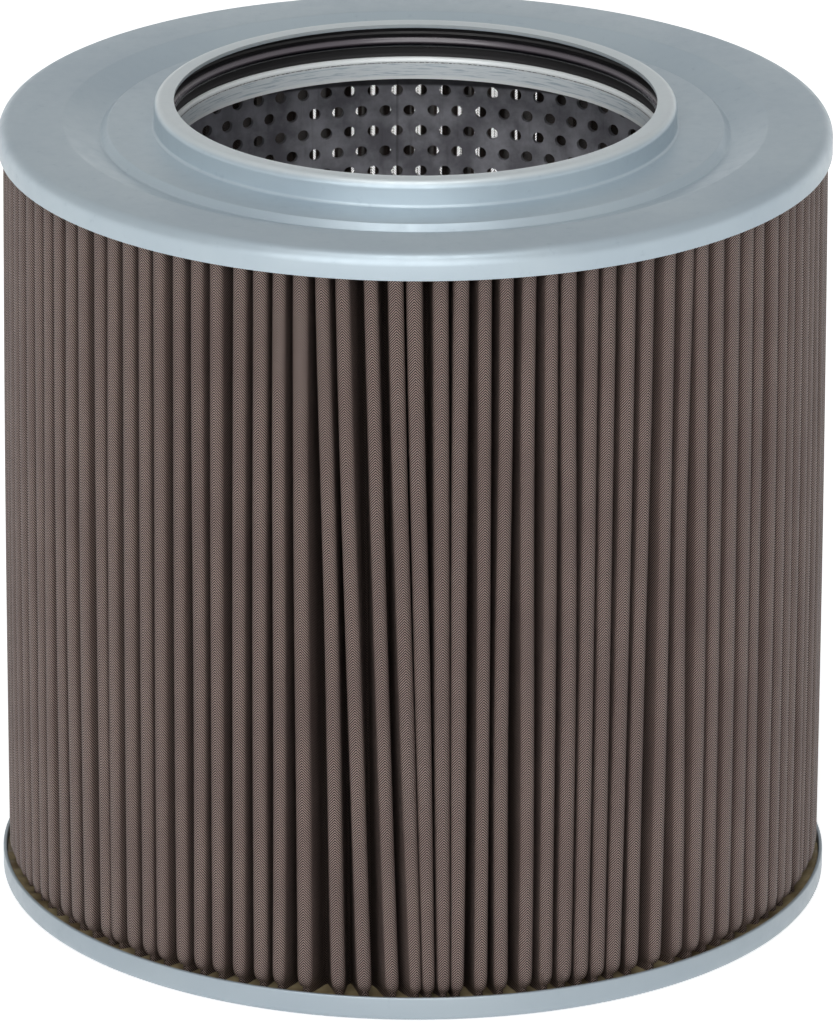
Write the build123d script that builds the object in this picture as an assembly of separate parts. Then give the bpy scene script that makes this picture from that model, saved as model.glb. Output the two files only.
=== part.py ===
from build123d import *
import os
from math import asin, cos, pi, sin

# Pleated filter element, standing on its closed end.
# Millimetres. The origin is the centre of the bottom face and +Z runs up the axis to the outlet.

# ---- driving dimensions ----
HEIGHT = 148.0  # floor to the top of the outlet lip
CAP_R = 75.0  # outer radius of the top cap
CAP_SHEET = 0.7  # sheet of both caps
CORNER_R = 1.8  # outside radius where a cap's skirt meets its flat ring
TOP_SKIRT = 4.4  # height of the top cap's skirt
BOTTOM_SKIRT = 4.5  # height of the bottom cap's rim
RIM_FLARE = 0.3  # how much wider the bottom cap is pressed
FIT = 0.1  # clearance between nested round pieces

RING_WIDTH = 11.6  # flat outer ring of the top cap
DISH_DEPTH = 2.3  # bottom of the dish below the outer ring
DISH_SLOPE_RUN = 6.0  # width of the sloping wall of the dish
STEP_RUN = 2.0  # width of the step up to the inner ring
INNER_RING_WIDTH = 8.4
INNER_RING_DROP = 0.9  # inner ring below the outer ring
LIP_RISE = 4.4  # top of the lip above the flat outer ring
LIP_BEND = 2.8  # outside radius of the rolled lip

SLEEVE_INSET = 0.2  # bore of the sleeve inside the mouth of the lip
SLEEVE_SHEET = 0.9
SLEEVE_DROP = 4.8  # lower edge of the sleeve below its flange
SLEEVE_BEND = 1.4  # radius of the bend between flange and wall
FLANGE_WIDTH = 8.5

SEAL_GRIP = 0.7  # how far the sealing land stands inside the mouth of the lip
SEAL_LAND = 2.0  # height of that land
SEAL_BEVEL = 0.8  # height of the bevel above the land

PLEATS = 116
PLEAT_DEPTH = 8.2
MEDIA_SHEET = 0.5
CREST_WIDTH = 2.9  # outside width of a crest

TUBE_SHEET = 0.8
HOLE_R = 1.6  # across the corners of one perforation
HOLE_COLUMNS = 12  # even, because each cut makes the two perforations that face each other
HOLE_ROWS = 4

# ---- places that follow ----
RIM_R = CAP_R + RIM_FLARE  # outer radius of the bottom cap
RING_Z = HEIGHT - LIP_RISE  # flat outer ring, top face
INNER_RING_Z = RING_Z - INNER_RING_DROP
DISH_Z = RING_Z - DISH_DEPTH
SKIRT_Z = RING_Z - TOP_SKIRT  # lower edge of the skirt
UNDER_RING_Z = RING_Z - CAP_SHEET  # ceiling over the pleats
UNDER_INNER_Z = INNER_RING_Z - CAP_SHEET

DISH_TOP_R = CAP_R - RING_WIDTH
DISH_R = DISH_TOP_R - DISH_SLOPE_RUN
STEP_R = DISH_R - STEP_RUN
COLLAR_R = STEP_R - INNER_RING_WIDTH
LIP_R = COLLAR_R - LIP_BEND  # mouth of the lip
SLEEVE_R = LIP_R - SLEEVE_INSET  # bore of the sleeve
FLANGE_R = SLEEVE_R + FLANGE_WIDTH
SEAL_R = LIP_R - SEAL_GRIP  # bore of the sealing land

CREST_R = CAP_R - CAP_SHEET - FIT  # the crests reach the inside of the skirt
VALLEY_R = CREST_R - PLEAT_DEPTH  # the inner folds stop at the core
TUBE_OUT_R = VALLEY_R - FIT
TUBE_R = TUBE_OUT_R - TUBE_SHEET


def turned(points):
    """A solid of revolution about Z from a closed outline of (radius, height) points."""
    outline = Polyline(*points, close=True)
    return revolve(make_face(Plane.XZ * outline), axis=Axis.Z)


def quarter(centre_r, centre_z, radius, start, steps):
    """Points of a quarter turn about a centre, from angle start in right angles."""
    turns = [start + i / steps for i in range(steps + 1)]
    return [(centre_r + radius * cos(t * pi / 2), centre_z + radius * sin(t * pi / 2)) for t in turns]


def top_end_cap():
    upper = [(CAP_R, SKIRT_Z)]
    upper += quarter(CAP_R - CORNER_R, RING_Z - CORNER_R, CORNER_R, 0, 1)
    upper += [(DISH_TOP_R, RING_Z), (DISH_R, DISH_Z), (STEP_R, INNER_RING_Z), (COLLAR_R, INNER_RING_Z)]
    upper += quarter(LIP_R, HEIGHT - LIP_BEND, LIP_BEND, 0, 2)
    lower = quarter(LIP_R, HEIGHT - LIP_BEND, LIP_BEND - CAP_SHEET, 0, 1)[::-1]
    lower += [(COLLAR_R - CAP_SHEET, UNDER_INNER_Z), (STEP_R, UNDER_INNER_Z)]
    lower += [(DISH_R, DISH_Z - CAP_SHEET), (DISH_TOP_R, UNDER_RING_Z)]
    lower += [(CAP_R - CAP_SHEET, UNDER_RING_Z), (CAP_R - CAP_SHEET, SKIRT_Z)]
    return turned(upper + lower)


def bottom_end_cap():
    wall_r = RIM_R - CAP_SHEET
    points = [(0, 0), (RIM_R - CORNER_R, 0), (RIM_R, CORNER_R), (RIM_R, BOTTOM_SKIRT)]
    points += [(wall_r, BOTTOM_SKIRT), (wall_r, CAP_SHEET), (0, CAP_SHEET)]
    return turned(points)


def bore_sleeve():
    flange_z = UNDER_INNER_Z - SLEEVE_SHEET
    wall_r = SLEEVE_R + SLEEVE_SHEET
    low = UNDER_INNER_Z - SLEEVE_DROP
    points = [(FLANGE_R, flange_z), (FLANGE_R, UNDER_INNER_Z), (SLEEVE_R + SLEEVE_BEND, UNDER_INNER_Z)]
    points += [(SLEEVE_R, UNDER_INNER_Z - SLEEVE_BEND), (SLEEVE_R, low), (wall_r, low), (wall_r, flange_z)]
    return turned(points)


def bore_seal():
    wall_r = COLLAR_R - CAP_SHEET - FIT
    top_z = HEIGHT - CAP_SHEET - FIT
    shoulder = LIP_BEND - CAP_SHEET
    land_top = top_z - SEAL_BEVEL
    points = [(SLEEVE_R + SLEEVE_BEND, UNDER_INNER_Z), (wall_r, UNDER_INNER_Z)]
    points += [(wall_r, top_z - shoulder), (wall_r - shoulder, top_z)]
    points += [(SEAL_R, land_top), (SEAL_R, land_top - SEAL_LAND)]
    return turned(points)


def core_tube():
    low, high = CAP_SHEET, UNDER_RING_Z
    tube = turned([(TUBE_R, low), (TUBE_OUT_R, low), (TUBE_OUT_R, high), (TUBE_R, high)])
    row_gap = (high - low) / HOLE_ROWS
    cuts = []
    for row in range(HOLE_ROWS):
        z = low + (row + 0.5) * row_gap
        for column in range(HOLE_COLUMNS // 2):
            turn = 360 * (column + row % 2 / 2) / HOLE_COLUMNS
            seat = Rot(0, 0, turn) * Plane((0, 0, z), z_dir=(1, 0, 0))
            cuts.append(extrude(seat * RegularPolygon(HOLE_R, 6), TUBE_OUT_R + TUBE_SHEET, both=True))
    return tube - cuts


def fold_line(offset):
    """One side of the folded sheet: offset 0 is the outer side, MEDIA_SHEET the inner side."""
    crest_half = CREST_WIDTH / 2 - offset
    crest_r = CREST_R - offset
    pitch = 2 * pi / PLEATS
    points = []
    for i in range(PLEATS):
        if offset:
            bends = [(0, -crest_half, crest_r), (0, crest_half, crest_r)]
            bends += [(pitch / 2, -offset, VALLEY_R), (pitch / 2, offset, VALLEY_R)]
        else:
            bends = [(0, -crest_half, crest_r - crest_half), (0, -crest_half / 2, crest_r)]
            bends += [(0, crest_half / 2, crest_r), (0, crest_half, crest_r - crest_half)]
            bends += [(pitch / 2, 0, VALLEY_R + MEDIA_SHEET)]
        for turn, across, r in bends:
            place = i * pitch + turn + asin(across / r)
            points.append((r * cos(place), r * sin(place), CAP_SHEET))
    return points


def pleated_media():
    outer = Wire.make_polygon(fold_line(0), close=True)
    inner = Wire.make_polygon(fold_line(MEDIA_SHEET), close=True)
    return extrude(Face(outer, [inner]), UNDER_RING_Z - CAP_SHEET)


PARTS = {
    "top_end_cap": top_end_cap(),
    "bottom_end_cap": bottom_end_cap(),
    "bore_sleeve": bore_sleeve(),
    "bore_seal": bore_seal(),
    "core_tube": core_tube(),
    "pleated_media": pleated_media(),
}

os.makedirs("parts", exist_ok=True)
for name, solid in PARTS.items():
    export_step(solid, f"parts/{name}.step")
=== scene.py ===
import math

import bmesh
import bpy
import numpy as np
from mathutils import Matrix, Vector


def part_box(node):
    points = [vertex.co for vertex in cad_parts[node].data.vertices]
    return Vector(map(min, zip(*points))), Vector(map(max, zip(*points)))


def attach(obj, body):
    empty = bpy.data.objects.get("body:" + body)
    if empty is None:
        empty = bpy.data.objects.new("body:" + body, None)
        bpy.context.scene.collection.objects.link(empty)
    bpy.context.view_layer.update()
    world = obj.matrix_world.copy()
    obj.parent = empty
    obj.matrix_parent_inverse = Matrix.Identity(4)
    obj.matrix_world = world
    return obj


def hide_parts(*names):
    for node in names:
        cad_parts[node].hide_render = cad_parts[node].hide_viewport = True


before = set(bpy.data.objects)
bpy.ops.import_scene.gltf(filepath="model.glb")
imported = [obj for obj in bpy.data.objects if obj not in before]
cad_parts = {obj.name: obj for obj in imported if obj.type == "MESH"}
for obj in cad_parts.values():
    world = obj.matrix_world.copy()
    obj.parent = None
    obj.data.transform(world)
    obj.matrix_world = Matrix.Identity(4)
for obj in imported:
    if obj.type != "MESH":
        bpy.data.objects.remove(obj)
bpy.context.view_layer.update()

MM = 0.001
TAU = 2 * math.pi
rng = np.random.default_rng(11)


# ---- sizes, in millimetres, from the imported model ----
def reach(node):
    """Outer radius, lower height and upper height of a round CAD node."""
    low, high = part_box(node)
    return round(high.x / MM, 2), round(low.z / MM, 2), round(high.z / MM, 2)


CAP_R, SKIRT_Z, TOP_Z = reach("top_end_cap")
RIM_R, _, RIM_Z = reach("bottom_end_cap")
FLANGE_R, SLEEVE_LOW, SLEEVE_HIGH = reach("bore_sleeve")
SEAL_OUT_R, _, SEAL_HIGH = reach("bore_seal")
TUBE_OUT_R, TUBE_LOW, TUBE_HIGH = reach("core_tube")
CREST_R, MEDIA_LOW, _ = reach("pleated_media")

SHEET = 0.7  # sheet of both caps
RING_Z = TOP_Z - 3.95  # flat outer ring of the top cap
INNER_RING_Z = RING_Z - 0.95
DISH_Z = RING_Z - 2.3
DISH_TOP_R = CAP_R - 11.6  # outer edge of the dish
DISH_R = DISH_TOP_R - 6.7  # foot of its sloping wall
STEP_R = DISH_R - 1.3  # top of the step up to the inner ring
COLLAR_R = 47.0
LIP_BEND = 1.5
BEND_R = COLLAR_R - LIP_BEND  # where the bend of the lip turns level
LIP_R = 43.4  # mouth of the lip
SLEEVE_R = 44.0
SLEEVE_SHEET = 0.9
SLEEVE_TOP = SLEEVE_HIGH - 0.6
SLEEVE_FILLET = 0.9
ROLL_R, ROLL_Z = 45.0, 144.3  # centre of the seal's roll
ROLL_IN, ROLL_UP = 1.42, 1.25  # its half width and half height


# ---- mesh helpers ----
def add_piece(name, verts, faces, sharp=35, uvs=None, marks=None):
    """A mesh object from points in millimetres, smooth except at its sharp edges."""
    mesh = bpy.data.meshes.new(name)
    mesh.from_pydata([tuple(v) for v in np.asarray(verts) * MM], [], faces)
    if marks is not None:
        mesh.polygons.foreach_set("material_index", marks)
    if uvs is not None:
        layer = mesh.uv_layers.new(name="weave")
        layer.data.foreach_set("uv", np.asarray(uvs, np.float32).ravel())
    mesh.validate()
    mesh.shade_smooth()
    mesh.set_sharp_from_angle(angle=math.radians(sharp))
    piece = bpy.data.objects.new(name, mesh)
    bpy.context.scene.collection.objects.link(piece)
    return piece


def rounded(corners, steps=6):
    """A line through (radius, height, fillet) corners, each fillet an arc."""
    line = []
    for i, (r, z, fillet) in enumerate(corners):
        here = Vector((r, z))
        if not fillet:
            line.append((r, z))
            continue
        before = (Vector(corners[i - 1][:2]) - here).normalized()
        after = (Vector(corners[i + 1][:2]) - here).normalized()
        half = before.angle(after) / 2
        centre = here + (before + after).normalized() * fillet / math.sin(half)
        start = here + before * fillet / math.tan(half) - centre
        end = here + after * fillet / math.tan(half) - centre
        first = math.atan2(start.y, start.x)
        swing = (math.atan2(end.y, end.x) - first + math.pi) % TAU - math.pi
        for k in range(steps + 1):
            a = first + swing * k / steps
            line.append((centre.x + fillet * math.cos(a), centre.y + fillet * math.sin(a)))
    return line


def sheet_outline(line, sheet):
    """The closed outline of a sheet that lies to the left of a line, going along it."""
    p = np.array(line, float)
    ahead = np.diff(p, axis=0)
    ahead /= np.linalg.norm(ahead, axis=1)[:, None]
    normal = np.stack([-ahead[:, 1], ahead[:, 0]], 1)
    joined = np.vstack([normal[:1], normal[:-1] + normal[1:], normal[-1:]])
    joined /= np.linalg.norm(joined, axis=1)[:, None]
    spread = np.ones(len(p))
    spread[1:-1] = 1 / np.maximum((joined[1:-1] * normal[1:]).sum(1), 0.5)
    inner = p + joined * (sheet * spread)[:, None]
    return [tuple(q) for q in p] + [tuple(q) for q in inner[::-1]]


def lathe(name, outline, segments=240, ripple=None):
    """A ring turned about the axis from a closed (radius, height) outline."""
    outline = np.array(outline, float)
    count = len(outline)
    verts = []
    for s in range(segments):
        a = TAU * s / segments
        ring = outline if ripple is None else ripple(outline.copy(), a)
        verts += [(r * math.sin(a), -r * math.cos(a), z) for r, z in ring]
    faces = []
    for s in range(segments):
        t = (s + 1) % segments
        for k in range(count):
            m = (k + 1) % count
            faces.append((s * count + k, t * count + k, t * count + m, s * count + m))
    piece = add_piece(name, verts, faces)
    bm = bmesh.new()
    bm.from_mesh(piece.data)
    bmesh.ops.remove_doubles(bm, verts=bm.verts, dist=1e-7)
    bmesh.ops.dissolve_degenerate(bm, edges=bm.edges, dist=1e-7)
    bmesh.ops.recalc_face_normals(bm, faces=bm.faces)
    bm.to_mesh(piece.data)
    bm.free()
    piece.data.shade_smooth()
    piece.data.set_sharp_from_angle(angle=math.radians(35))
    return piece


def smooth(x):
    x = np.clip(x, 0, 1)
    return x * x * (3 - 2 * x)


# ---- material helpers ----
class Shader:
    """A material being made, with short names for the nodes it uses."""

    def __init__(self, name, **sockets):
        self.mat = bpy.data.materials.new(name)
        self.mat.use_nodes = True
        self.tree = self.mat.node_tree
        self.bsdf = self.tree.nodes["Principled BSDF"]
        for key, value in sockets.items():
            self.bsdf.inputs[key.replace("_", " ")].default_value = value

    def node(self, kind, values=(), **settings):
        made = self.tree.nodes.new(kind)
        for key, value in settings.items():
            setattr(made, key, value)
        for key, value in dict(values).items():
            if isinstance(value, bpy.types.NodeSocket):
                self.tree.links.new(value, made.inputs[key])
            else:
                made.inputs[key].default_value = value
        return made

    def math(self, operation, a, b=0.0, c=0.0):
        return self.node("ShaderNodeMath", {0: a, 1: b, 2: c}, operation=operation).outputs[0]

    def place(self):
        return self.node("ShaderNodeTexCoord").outputs["Object"]

    def parts(self, vector):
        return self.node("ShaderNodeSeparateXYZ", {0: vector}).outputs

    def polar(self):
        """Radius, turn in radians from the front, and height, of a point in the row frame."""
        x, y, z = self.parts(self.place())
        xx, yy = self.math("MULTIPLY", x, x), self.math("MULTIPLY", y, y)
        radius = self.math("SQRT", self.math("ADD", xx, yy))
        turn = self.math("ARCTAN2", x, self.math("MULTIPLY", y, -1.0))
        return radius, turn, z

    def noise(self, scale, detail=3.0, vector=None, roughness=0.55):
        values = {"Scale": scale, "Detail": detail, "Roughness": roughness}
        values["Vector"] = vector if vector is not None else self.place()
        return self.node("ShaderNodeTexNoise", values).outputs[0]

    def join(self, x, y, z):
        return self.node("ShaderNodeCombineXYZ", {0: x, 1: y, 2: z}).outputs[0]

    def band(self, value, low, high, to_low=0.0, to_high=1.0):
        """A value spread from one range over another, clamped."""
        values = {0: value, 1: low, 2: high, 3: to_low, 4: to_high}
        return self.node("ShaderNodeMapRange", values, interpolation_type="SMOOTHSTEP").outputs[0]

    def mix(self, share, a, b):
        made = self.node("ShaderNodeMix", data_type="RGBA")
        for key, value in ((0, share), (6, a), (7, b)):
            if isinstance(value, bpy.types.NodeSocket):
                self.tree.links.new(value, made.inputs[key])
            else:
                made.inputs[key].default_value = value
        return made.outputs[2]

    def bump(self, height, distance, strength=1.0, normal=None):
        values = {"Height": height, "Distance": distance, "Strength": strength}
        if normal is not None:
            values["Normal"] = normal
        return self.node("ShaderNodeBump", values).outputs[0]

    def set(self, **links):
        for key, value in links.items():
            self.tree.links.new(value, self.bsdf.inputs[key.replace("_", " ")])
        return self.mat


def linear(r, g, b):
    """An sRGB colour of 0 to 255 as the linear colour that a shader takes."""
    return tuple((c / 255) ** 2.2 for c in (r, g, b)) + (1.0,)


# ---- materials ----
def cap_material():
    """Satin blue-grey plating: faint clouds, a fine pressed grain, a painted highlight along the top of
    the lip and painted shade on the lower rim.
    """
    s = Shader("plated_cap_finish", Metallic=0.4)
    z = s.polar()[2]
    clouds = s.noise(28.0, 4.0)
    grain = s.noise(1400.0, 2.0)
    specks = s.noise(420.0, 3.0, roughness=0.7)
    colour = s.mix(s.band(clouds, 0.3, 0.7), linear(175, 190, 200), linear(185, 199, 207))
    colour = s.mix(s.band(specks, 0.62, 0.75, 0.0, 0.35), colour, linear(158, 174, 186))
    # a near-white band along the top of the lip: a painted highlight
    lip = s.band(z, (TOP_Z - 1.0) * MM, (TOP_Z - 0.2) * MM, 0.0, 0.6)
    colour = s.mix(lip, colour, linear(232, 238, 238))
    # the lower rim of the bottom cap made darker: painted shade
    painted_rim_shade = s.band(z, (RIM_Z + 0.3) * MM, (RIM_Z + 1.1) * MM, 0.45, 0.0)
    colour = s.mix(painted_rim_shade, colour, linear(138, 147, 154))
    bump = s.bump(grain, 0.00002, 0.35)
    bump = s.bump(s.noise(90.0, 2.0), 0.0002, 0.12, bump)
    return s.set(Base_Color=colour, Roughness=s.band(specks, 0.3, 0.7, 0.32, 0.44), Normal=bump)


def sleeve_material():
    """Bright scuffed plating with a fine dotted line just under the bend."""
    s = Shader("plated_sleeve_finish", Metallic=0.15)
    _, turn, z = s.polar()
    around = s.join(s.math("MULTIPLY", turn, 7.0), s.math("MULTIPLY", z, 3200.0), 0.0)
    scuffs = s.noise(1.0, 4.0, around, 0.6)
    dots = s.noise(120.0, 2.0, s.join(turn, s.math("MULTIPLY", z, 40.0), 0.0), 0.6)
    line_z = (SLEEVE_TOP - SLEEVE_FILLET - 0.15) * MM
    offset = s.math("ABSOLUTE", s.math("SUBTRACT", z, line_z))
    near = s.band(offset, 0.00004, 0.00014, 1.0, 0.0)
    line = s.math("MULTIPLY", near, s.band(dots, 0.4, 0.58, 0.25, 1.0))
    wall = s.band(z, (SLEEVE_LOW + 0.5) * MM, (SLEEVE_LOW + 0.8) * MM)
    below_bend = s.band(z, (SLEEVE_TOP - 1.4) * MM, (SLEEVE_TOP - 1.0) * MM, 1.0, 0.0)
    wall = s.math("MULTIPLY", wall, below_bend)
    scuffed = s.mix(s.band(scuffs, 0.5, 0.62), linear(224, 232, 236), linear(182, 197, 206))
    colour = s.mix(wall, linear(236, 241, 242), scuffed)
    colour = s.mix(line, colour, linear(48, 50, 60))
    bump = s.bump(scuffs, 0.00004, 0.4)
    return s.set(Base_Color=colour, Roughness=s.band(scuffs, 0.3, 0.75, 0.3, 0.44), Normal=bump)


def rubber_material():
    """Black rubber, glossy on the seal's roll and duller off it, with a painted grey highlight along the
    roll.
    """
    s = Shader("seal_rubber_finish", Metallic=0.0, Specular_IOR_Level=0.8)
    fine = s.noise(900.0, 3.0)
    dust = s.noise(160.0, 4.0)
    colour = s.mix(s.band(dust, 0.5, 0.8, 0.0, 0.6), linear(14, 12, 17), linear(44, 38, 44))
    bump = s.bump(fine, 0.00003, 0.2)
    z = s.polar()[2]

    def height(above):
        """A height in metres, from one in millimetres above the centre of the roll."""
        return (ROLL_Z + above) * MM

    under = s.band(z, height(-1.5), height(-1.1), 1.0, 0.0)
    off_roll = s.math("MAXIMUM", under, s.band(z, height(0.9), height(1.3)))
    # a lighter grey band on the crown of the roll: a painted highlight
    roll_highlight_paint = s.band(z, height(-0.3), height(0.4))
    roll_highlight_paint = s.math("MULTIPLY", roll_highlight_paint, s.band(z, height(0.6), height(1.1), 1.0, 0.0))
    colour = s.mix(s.math("MULTIPLY", roll_highlight_paint, 0.85), colour, linear(98, 91, 98))
    sheen = s.band(dust, 0.3, 0.7, 0.2, 0.28)
    rough = s.math("ADD", sheen, s.math("MULTIPLY", off_roll, 0.4))
    return s.set(Base_Color=colour, Roughness=rough, Normal=bump)


SEAM_TURN = math.radians(-177)  # weld of the core, just off the back


def core_material():
    """Dark mottled steel of the punched core, with its weld line and a painted shadow of the sleeve near
    the mouth.
    """
    s = Shader("core_steel_finish", Metallic=0.3)
    mottle = s.noise(130.0, 5.0, roughness=0.65)
    turn = s.polar()[1]
    x, y, z = s.parts(s.place())
    stretched = s.join(x, y, s.math("MULTIPLY", z, 0.12))
    rolled = s.noise(700.0, 3.0, stretched)
    colour = s.mix(s.band(mottle, 0.3, 0.72), linear(138, 137, 144), linear(202, 202, 210))
    colour = s.mix(s.band(rolled, 0.55, 0.8, 0.0, 0.4), colour, linear(102, 100, 107))
    # the top of the tube darkened under the sleeve: a painted shadow
    sleeve_shadow_paint = s.band(z, (TUBE_HIGH - 14.1) * MM, (TUBE_HIGH - 13.5) * MM, 0.0, 0.8)
    colour = s.mix(sleeve_shadow_paint, colour, linear(34, 31, 38))
    seam = s.math("ABSOLUTE", s.math("SUBTRACT", turn, SEAM_TURN))
    colour = s.mix(s.band(seam, 0.002, 0.005, 0.3, 0.0), colour, linear(30, 28, 32))
    bump = s.bump(rolled, 0.00003, 0.3)
    return s.set(Base_Color=colour, Roughness=s.band(mottle, 0.3, 0.7, 0.36, 0.52), Normal=bump)


WEAVE_ROW = 0.49  # height of one row of the twill
WEAVE_RUN = 0.4  # width of one wire across the row
WEAVE_CLIMB = 1.1  # how steeply the rows climb to the crest line
STRIP_HALF = 0.68  # half width of the see-through strip along a crest


def cloth_material(name, open_to=None):
    """Twilled wire cloth: rows that climb to the crest line, crossed by fine wires.

    Along the crest line it may be open between its rows, to "all" or only from "inside"."""
    s = Shader(name, Metallic=0.25)
    uv = s.node("ShaderNodeUVMap", uv_map="weave").outputs[0]
    u, v, _ = s.parts(uv)
    radius = s.polar()[0]
    side = s.math("ABSOLUTE", u)
    warp = s.math("MULTIPLY", s.math("SUBTRACT", s.noise(160.0, 2.0), 0.5), 0.5)
    climb = s.math("ADD", v, s.math("MULTIPLY", side, WEAVE_CLIMB))
    climb = s.math("ADD", climb, warp)
    row = s.math("SINE", s.math("MULTIPLY", climb, TAU / WEAVE_ROW))
    lag = s.math("ADD", s.math("MULTIPLY", u, TAU / WEAVE_RUN), s.math("MULTIPLY", v, 1.3))
    wire = s.math("SINE", lag)
    rows = s.band(row, -0.3, 0.95)
    wires = s.band(wire, -0.8, 0.8, 0.75, 1.0)
    height = s.math("MULTIPLY", rows, wires)
    tone = s.noise(60.0, 4.0)
    colour = s.mix(height, linear(18, 10, 8), linear(184, 161, 152))
    colour = s.mix(s.band(tone, 0.35, 0.7, 0.0, 0.25), colour, linear(80, 64, 62))
    # the deep folds darkened towards the inner radius: painted shade
    depth_shade_paint = s.band(radius, (CREST_R - 6.8) * MM, (CREST_R - 1.2) * MM, 0.85, 0.0)
    colour = s.mix(depth_shade_paint, colour, s.mix(height, linear(14, 8, 5), linear(96, 82, 74)))
    bump = s.bump(height, 0.00016, 0.8)
    s.set(Base_Color=colour, Roughness=s.band(height, 0.0, 1.0, 0.6, 0.4), Normal=bump)
    if open_to:
        within = s.band(side, STRIP_HALF - 0.06, STRIP_HALF + 0.06, 1.0, 0.0)
        within = s.math("MULTIPLY", within, s.band(side, 0.02, 0.07))
        gaps = s.math("MULTIPLY", within, s.band(rows, 0.5, 0.8, 1.0, 0.0))
        if open_to == "inside":
            from_inside = s.node("ShaderNodeNewGeometry").outputs["Backfacing"]
            gaps = s.math("MULTIPLY", gaps, from_inside)
        s.set(Alpha=s.math("SUBTRACT", 1.0, gaps))
    return s.mat


def adhesive_material():
    """Set adhesive: blotched tan, with an uneven skin."""
    s = Shader("adhesive_finish", Metallic=0.0)
    blotch = s.noise(220.0, 4.0)
    colour = s.mix(s.band(blotch, 0.3, 0.7), linear(120, 104, 78), linear(164, 150, 116))
    bump = s.bump(s.noise(500.0, 3.0), 0.0002, 0.5)
    return s.set(Base_Color=colour, Roughness=s.band(blotch, 0.3, 0.7, 0.4, 0.6), Normal=bump)


def plain_stage_material(name, colour, glow):
    """A pale ground that the camera, reflections and clear material see brighter."""
    s = Shader(name, Base_Color=colour, Roughness=0.9)
    path = s.node("ShaderNodeLightPath").outputs
    seen = s.math("MAXIMUM", path["Is Camera Ray"], path["Is Transmission Ray"])
    level = s.math("MULTIPLY", s.math("MAXIMUM", seen, path["Is Glossy Ray"]), glow)
    s.bsdf.inputs["Emission Color"].default_value = (1, 1, 1, 1)
    s.tree.links.new(level, s.bsdf.inputs["Emission Strength"])
    return s.mat


# ---- end caps, sleeve and seal ----
def finish_piece(piece, material, slot, *nodes):
    """Give a piece its material, say what it rides on, and hide the CAD nodes that it stands in for."""
    piece.data.materials.append(material)
    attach(piece, "root")
    if nodes:
        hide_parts(*nodes)
    return piece


def top_cap():
    lip_centre = TOP_Z - LIP_BEND
    line = rounded(
        [
            (CAP_R, SKIRT_Z, 0),
            (CAP_R, RING_Z, 2.3),
            (DISH_TOP_R, RING_Z, 2.0),
            (DISH_R, DISH_Z, 0.45),
            (STEP_R, INNER_RING_Z, 0.45),
            (COLLAR_R, INNER_RING_Z, 0.6),
            (COLLAR_R, lip_centre, 0),
        ]
    )
    for k in range(1, 11):
        a = k / 10 * math.pi / 2
        line.append((BEND_R + LIP_BEND * math.cos(a), lip_centre + LIP_BEND * math.sin(a)))
    line += [((BEND_R + LIP_R) / 2, TOP_Z - 0.02), (LIP_R, TOP_Z - 0.12)]
    return lathe("top_cap", sheet_outline(line, SHEET), 360)


def bottom_cap():
    wall = RIM_R - SHEET
    outline = [(0, 0)] + rounded(
        [
            (0, 0, 0),
            (RIM_R, 0, 1.2),
            (RIM_R, RIM_Z, 0.25),
            (wall, RIM_Z, 0.25),
            (wall, SHEET, 0.6),
            (0, SHEET, 0),
        ]
    )[1:]
    return lathe("bottom_cap", outline, 360)


def sleeve():
    line = rounded(
        [
            (SLEEVE_R, SLEEVE_LOW, 0),
            (SLEEVE_R, SLEEVE_TOP, SLEEVE_FILLET),
            (FLANGE_R, SLEEVE_TOP, 0),
        ],
        10,
    )
    return lathe("sleeve", sheet_outline(line[::-1], SLEEVE_SHEET), 300)


def seal():
    """A rubber ring with a round sealing roll under the lip, and a toe below it on the sleeve."""
    wall, top = SEAL_OUT_R, SEAL_HIGH
    line = [(wall, SLEEVE_TOP), (wall, top - 2.1)]
    line += [(wall - 0.3, top - 0.5), (wall - 1.0, top - 0.1), (wall - 1.2, top - 0.4)]
    line += [(ROLL_R + 0.5, ROLL_Z + 1.6)]
    first, last, steps = 75, 285, 16  # degrees of the roll that stand free
    for k in range(steps + 1):
        a = math.radians(first + (last - first) * k / steps)
        line.append((ROLL_R + ROLL_IN * math.cos(a), ROLL_Z + ROLL_UP * math.sin(a)))
    toe = [(0.55, -1.4), (0.3, -1.9), (-0.15, -2.2), (-0.45, -2.5)]
    line += [(ROLL_R + across, ROLL_Z + up) for across, up in toe]
    line += [(ROLL_R - 0.48, SLEEVE_TOP - 0.02), (ROLL_R + 0.2, SLEEVE_TOP)]
    return lathe("seal_ring", line, 300)


# ---- perforated core ----
HOLES_ROUND = 92
HOLE_ROWS = 35
HOLE_R = 1.12
TUBE_SHEET = 0.8
ROW_HEIGHT = 3.95
PLAIN_TOP = 1.0  # unpunched band above the top row's cells
FINE_ROWS = 14  # rows near the mouth, with rounder holes


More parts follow.
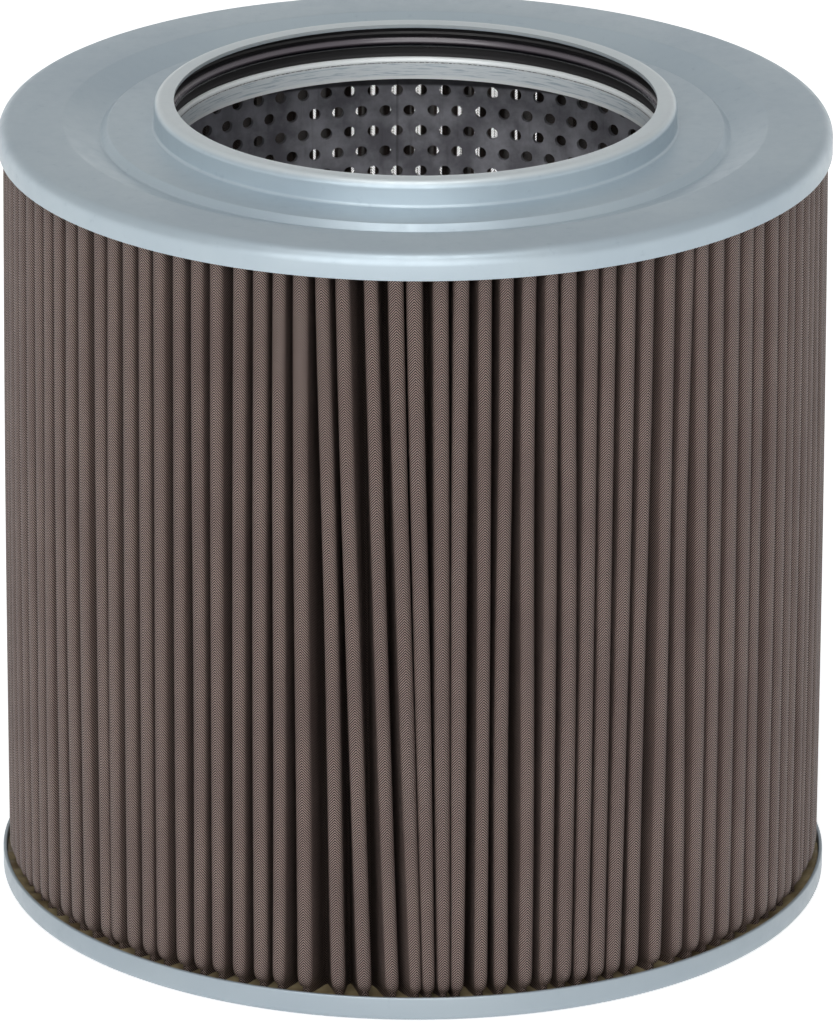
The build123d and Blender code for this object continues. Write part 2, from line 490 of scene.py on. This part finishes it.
def core():
    """A tube of flat cells, each with a round hole, closed at its ends by plain bands."""
    pitch = TAU / HOLES_ROUND
    grid_high = TUBE_HIGH - PLAIN_TOP
    grid_low = grid_high - HOLE_ROWS * ROW_HEIGHT
    inner_r, outer_r = TUBE_OUT_R - TUBE_SHEET, TUBE_OUT_R
    half_w = pitch * inner_r / 2
    half_h = ROW_HEIGHT / 2
    border = [(1, 0), (1, 1), (0, 1), (-1, 1), (-1, 0), (-1, -1), (0, -1), (1, -1)]
    border = [(x * half_w, y * half_h) for x, y in border]

    def cell(sides):
        """Points and triangles of a flat cell with a round hole, about its centre."""
        turns = [TAU * k / sides for k in range(sides)]
        hole = [(HOLE_R * math.cos(a), HOLE_R * math.sin(a)) for a in turns]
        triangles, i, j = [], 0, 0
        turn_b = [math.atan2(y, x) % TAU for x, y in border] + [TAU]
        turn_h = turns + [TAU]
        while i < 8 or j < sides:
            if j >= sides or (i < 8 and turn_b[i + 1] <= turn_h[j + 1]):
                triangles.append((i % 8, (i + 1) % 8, 8 + j % sides))
                i += 1
            else:
                triangles.append((i % 8, 8 + (j + 1) % sides, 8 + j % sides))
                j += 1
        return border + hole, triangles

    verts, faces = [], []

    def point(r, turn, z):
        verts.append((r * math.sin(turn), -r * math.cos(turn), z))

    for row in range(HOLE_ROWS):
        z = grid_low + (row + 0.5) * ROW_HEIGHT
        sides = 12 if row >= HOLE_ROWS - FINE_ROWS else 6
        flat, triangles = cell(sides)
        for column in range(HOLES_ROUND):
            centre = SEAM_TURN + (column + (1 - row % 2) / 2) * pitch
            base, n = len(verts), len(flat)
            for r in (inner_r, outer_r):
                for x, y in flat:
                    point(r, centre + x / inner_r, z + y)
            for a, b, c in triangles:
                faces.append((base + a, base + b, base + c))
                faces.append((base + n + a, base + n + c, base + n + b))
            for k in range(8, 8 + sides):
                m = 8 + (k - 7) % sides
                faces.append((base + k, base + m, base + n + m, base + n + k))
    around = 2 * HOLES_ROUND
    for near, end in ((grid_high, TUBE_HIGH), (grid_low, TUBE_LOW)):
        base = len(verts)
        corners = [(inner_r, near), (inner_r, end), (outer_r, end), (outer_r, near)]
        for r, z in corners:
            for k in range(around):
                point(r, SEAM_TURN + k * pitch / 2, z)
        for ring in range(3):
            for k in range(around):
                a, b = base + ring * around + k, base + ring * around + (k + 1) % around
                faces.append((a, b, b + around, a + around))
    piece = add_piece("core", verts, faces)
    bm = bmesh.new()
    bm.from_mesh(piece.data)
    bmesh.ops.remove_doubles(bm, verts=bm.verts, dist=2e-6)
    bmesh.ops.recalc_face_normals(bm, faces=bm.faces)
    bm.to_mesh(piece.data)
    bm.free()
    piece.data.shade_smooth()
    piece.data.set_sharp_from_angle(angle=math.radians(40))
    return piece


# ---- pleated cloth ----
PLEATS = 116
CLOTH = 0.14  # thickness of the cloth
CREST_W = 2.7  # width of a crest
CREST_FLAT = 0.74  # how far a crest stands out against its half width
CREST_CURL = math.radians(92)  # how far a crest's curve goes to each side
ROOT_R = 66.55  # inner folds
ROOT_HALF = 0.0062  # half width of an inner fold, in radians
ROOT_RISE = 0.55  # how far out the flanks start from it
CREST_STEPS = 10
FLANK_SHARES = (0.3, 0.6, 0.85)  # places of the points along a flank
PINCH = (0.0, 0.03, 0.05)  # how far the flank is drawn in at each
END_LOW, END_HIGH = 3.7, 6.6  # heights between which the crest ends are rounded off
HEIGHTS = [0.0, 3.2, 3.7, 3.95, 4.3, 4.8, 5.5, 6.6, 12.0, 20.0, 30.0]
HEIGHTS += [42.0, 55.0, 68.0, 81.0, 94.0, 107.0, 120.0, 132.0, 142.1]


def leans(front):
    """How far, in degrees, the crests at this turn from the front lean at the bottom."""
    right = 3.2 * smooth((front + 17.5) / 7.0) * (1 - smooth((front + 3.0) / 9.5))
    left = -1.3 * smooth((front - 22) / 8) * (1 - smooth((front - 36) / 8))
    return right + left


def at(turn, r):
    """Points at these turns from the front and this radius."""
    return np.stack([r * np.sin(turn), -r * np.cos(turn)], 1)


def cloth_rings():
    """The outer side of the folded cloth, one closed ring of points for each height."""
    pitch = 360 / PLEATS
    number = np.arange(PLEATS)
    home = (number - PLEATS // 2) * pitch
    slow = 0.5 * np.sin(np.radians(home * 7) + 0.6) + 0.35 * np.sin(np.radians(home * 17) + 2.0)
    top_turn = home + 0.55 * slow + rng.normal(0, 0.24, PLEATS).clip(-0.45, 0.45)
    lean = leans(home) + rng.normal(0, 0.24, PLEATS).clip(-0.5, 0.5)
    bow = rng.normal(0, 0.11, PLEATS)
    reach_r = CREST_R - np.abs(rng.normal(0, 0.14, PLEATS)).clip(0, 0.4)
    girth = 1 + rng.normal(0, 0.05, PLEATS).clip(-0.1, 0.1)
    pinch = 1 + rng.normal(0, 0.45, PLEATS).clip(-0.9, 0.9)
    root_turn = home - pitch / 2 + 0.3 * slow
    rings = []
    for height in HEIGHTS:
        t = height / HEIGHTS[-1]
        sway = lean * (1 - t) ** 1.15 + bow * np.sin(TAU * t + number * 0.9)
        crest = np.radians(top_turn + sway)
        gap = np.diff(np.append(crest, crest[0] + TAU))
        gap = np.minimum(gap, np.roll(gap, 1))
        rise = min(max((height - END_LOW) / (END_HIGH - END_LOW), 0), 1)
        bloom = math.sqrt(1 - (1 - rise) ** 2)
        end = 0.5 + 0.5 * bloom
        radius = np.minimum(CREST_W * girth, gap * (CREST_R - CREST_W / 2) * 0.97) / 2 * end
        root = np.radians(root_turn + 0.45 * sway)
        following = np.append(root[1:], root[0] + TAU)
        swell = 0.25 * math.sin(math.pi * t)
        tip = at(crest, reach_r + swell - radius * CREST_FLAT - 1.5 * (1 - bloom))
        out = tip - at((root + following) / 2, ROOT_R)
        out /= np.linalg.norm(out, axis=1)[:, None]
        across = np.stack([-out[:, 1], out[:, 0]], 1)
        left = at(root + ROOT_HALF, ROOT_R + ROOT_RISE)
        right = at(following - ROOT_HALF, ROOT_R + ROOT_RISE)

        def crest_point(a):
            return tip + (out * math.cos(a) * CREST_FLAT + across * math.sin(a)) * radius[:, None]

        points = [left]
        for share, squeeze in zip(FLANK_SHARES, PINCH):
            run = left + (crest_point(-CREST_CURL) - left) * share
            points.append(run + across * (squeeze * pinch)[:, None])
        turns = [CREST_CURL * (2 * k / CREST_STEPS - 1) for k in range(CREST_STEPS + 1)]
        points += [crest_point(a) for a in turns]
        for share, squeeze in zip(FLANK_SHARES[::-1], PINCH[::-1]):
            run = right + (crest_point(CREST_CURL) - right) * share
            points.append(run - across * (squeeze * pinch)[:, None])
        points += [right, at(following, ROOT_R)]
        rings.append(np.stack(points, 1).reshape(-1, 2))
    return np.array(rings)


def cloth():
    """The folded cloth as one closed sheet: outer side, inner side and both ends.

    Faces along a crest are marked 1 outside and 2 inside, for their own materials."""
    rings = cloth_rings()
    levels, total = rings.shape[:2]
    per = total // PLEATS
    ahead = np.roll(rings, -1, axis=1) - rings
    ahead /= np.linalg.norm(ahead, axis=2)[:, :, None]
    normal = np.stack([-ahead[..., 1], ahead[..., 0]], 2)
    joined = normal + np.roll(normal, 1, axis=1)
    joined /= np.linalg.norm(joined, axis=2)[:, :, None]
    stretch = 1 / np.maximum((joined * normal).sum(2), 0.6)
    inner = rings + joined * (CLOTH * stretch)[:, :, None]
    heights = MEDIA_LOW + 0.05 + np.array(HEIGHTS)
    verts = []
    for side in (rings, inner):
        for level in range(levels):
            verts.append(np.hstack([side[level], np.full((total, 1), heights[level])]))
    lengths = np.linalg.norm(rings - np.roll(rings, 1, axis=1), axis=2).reshape(levels, PLEATS, per)
    along = np.zeros((levels, PLEATS, per + 1))
    along[:, :, 1:] = np.cumsum(lengths, axis=2)
    middle = 1 + len(FLANK_SHARES) + CREST_STEPS // 2
    along -= along[:, :, middle + 1 : middle + 2].copy()
    faces, uvs, marks = [], [], []
    offset = levels * total
    for side in (0, 1):
        for level in range(levels - 1):
            low, high = heights[level], heights[level + 1]
            for p in range(PLEATS):
                for k in range(per):
                    here = p * per + k
                    before = (here - 1) % total
                    a = side * offset + level * total
                    quad = [a + before, a + here, a + total + here, a + total + before]
                    corner = [(along[level, p, k], low), (along[level, p, k + 1], low)]
                    corner += [(along[level + 1, p, k + 1], high), (along[level + 1, p, k], high)]
                    if side:
                        quad.reverse()
                        corner.reverse()
                    faces.append(quad)
                    uvs += corner
                    on_crest = middle - 1 <= k <= middle + 2
                    marks.append((1 + side) * int(on_crest))
    for level in (0, levels - 1):
        for k in range(total):
            here, after = level * total + k, level * total + (k + 1) % total
            quad = [here, after, offset + after, offset + here]
            if level == 0:
                quad.reverse()
            faces.append(quad)
            uvs += [(0.0, 0.0)] * 4
            marks.append(0)
    return add_piece("cloth", np.vstack(verts), faces, 60, uvs, marks)


def adhesive(name, low, high, inner_r, outer_r, edge_rise):
    """A poured ring of adhesive, its free face uneven round the pleats and higher at its edges."""
    across = 7  # points over the free face

    def uneven(ring, a):
        wave = 0.16 * math.sin(a * PLEATS)
        wave += 0.12 * math.sin(a * 37 + 1.0) + 0.1 * math.sin(a * 71 + 2.0)
        ring[1 : 1 + across, 1] += wave
        return ring

    line = [(inner_r, low)]
    for k in range(across):
        share = k / (across - 1)
        line.append((inner_r + (outer_r - inner_r) * share, high + edge_rise * (2 * share - 1) ** 2))
    line.append((outer_r, low))
    return lathe(name, line, 480, uneven)


plated = cap_material()
finish_piece(top_cap(), plated, "plated_cap", "top_end_cap")
finish_piece(bottom_cap(), plated, "plated_cap", "bottom_end_cap")
finish_piece(sleeve(), sleeve_material(), "plated_sleeve", "bore_sleeve")
finish_piece(seal(), rubber_material(), "seal_rubber", "bore_seal")
finish_piece(core(), core_material(), "core_steel", "core_tube")
pleats = finish_piece(cloth(), cloth_material("wire_cloth_finish"), "wire_cloth", "pleated_media")
pleats.data.materials.append(cloth_material("wire_cloth_crest_finish", "inside"))
pleats.data.materials.append(cloth_material("wire_cloth_lining_finish", "all"))
glue = adhesive("bottom_adhesive", SHEET + 0.02, 3.0, 66.0, RIM_R - SHEET - 0.05, 0.25)
finish_piece(glue, adhesive_material(), None)

# ---- ground, light and camera ----
bpy.ops.mesh.primitive_plane_add(size=12.0, location=(0, 0, -0.0002))
ground = bpy.context.object
ground.name = "ground"
ground.data.materials.append(plain_stage_material("ground_finish", (0.8, 0.8, 0.8, 1), 0.72))

world = bpy.data.worlds.new("studio")
world.use_nodes = True
bpy.context.scene.world = world
wt = world.node_tree
sky = wt.nodes["Background"]


def world_math(operation, a, b):
    made = wt.nodes.new("ShaderNodeMath")
    made.operation = operation
    for socket, value in zip(made.inputs, (a, b)):
        if isinstance(value, bpy.types.NodeSocket):
            wt.links.new(value, socket)
        else:
            socket.default_value = value
    return made.outputs[0]


AMBIENT = 0.2  # what lights the object
SEEN_WHITE = 1.0  # what the camera sees behind it
HIGH_REFLECTION = 0.42  # what reflections see overhead, where level with the object they see 1
FALL_LOW, FALL_HIGH = 0.1, 0.34  # rise of a direction between which they go from one to the other
path = wt.nodes.new("ShaderNodeLightPath").outputs
way = wt.nodes.new("ShaderNodeTexCoord").outputs["Generated"]
split = wt.nodes.new("ShaderNodeSeparateXYZ")
wt.links.new(way, split.inputs[0])
fall = wt.nodes.new("ShaderNodeMapRange")
fall.interpolation_type = "SMOOTHSTEP"
wt.links.new(split.outputs[2], fall.inputs["Value"])
reflection_fall = {"From Min": FALL_LOW, "From Max": FALL_HIGH, "To Min": 1.0, "To Max": HIGH_REFLECTION}
for key, value in reflection_fall.items():
    fall.inputs[key].default_value = value
mirrored = world_math("MULTIPLY", path["Is Glossy Ray"], fall.outputs[0])
looked_at = world_math("MAXIMUM", path["Is Camera Ray"], path["Is Transmission Ray"])
brightest = world_math("MAXIMUM", mirrored, world_math("MULTIPLY", looked_at, SEEN_WHITE))
sky.inputs["Color"].default_value = (1, 1, 1, 1)
wt.links.new(world_math("MAXIMUM", brightest, AMBIENT), sky.inputs["Strength"])


def lamp(name, azimuth, elevation, strength, spread):
    """A soft distant lamp that shines from this side of the object, in degrees."""
    data = bpy.data.lights.new(name, "SUN")
    data.energy = strength
    data.angle = math.radians(spread)
    holder = bpy.data.objects.new(name, data)
    a, e = math.radians(azimuth), math.radians(elevation)
    direction = Vector((math.sin(a) * math.cos(e), -math.cos(a) * math.cos(e), math.sin(e)))
    holder.rotation_euler = direction.to_track_quat("Z", "Y").to_euler()
    bpy.context.scene.collection.objects.link(holder)


lamp("key", -8, 20, 1.8, 60)
lamp("top", -4, 70, 0.75, 34)

# the camera, fitted to the rings in the photograph
CAMERA_BACK = 1.85724
CAMERA_HIGH = 0.75866
PITCH_DOWN = 0.3557
ROLL = 0.0038
IMAGE_WIDTH, IMAGE_HEIGHT = 834, 1024
FOCAL_PIXELS = 10885.74
AXIS_X = 414.07  # column of the picture that the axis falls on
SENSOR = 36
camera_data = bpy.data.cameras.new("camera")
camera_data.sensor_width = SENSOR
camera_data.lens = FOCAL_PIXELS * SENSOR / IMAGE_HEIGHT
camera_data.shift_x = (IMAGE_WIDTH / 2 - AXIS_X) / IMAGE_HEIGHT
camera_data.clip_start, camera_data.clip_end = 0.05, 50
camera = bpy.data.objects.new("camera", camera_data)
camera.matrix_world = (
    Matrix.Translation((0, -CAMERA_BACK, CAMERA_HIGH))
    @ Matrix.Rotation(math.pi / 2 - PITCH_DOWN, 4, "X")
    @ Matrix.Rotation(ROLL, 4, "Z")
)
bpy.context.scene.collection.objects.link(camera)
bpy.context.scene.camera = camera

bpy.context.scene.view_settings.view_transform = "Standard"
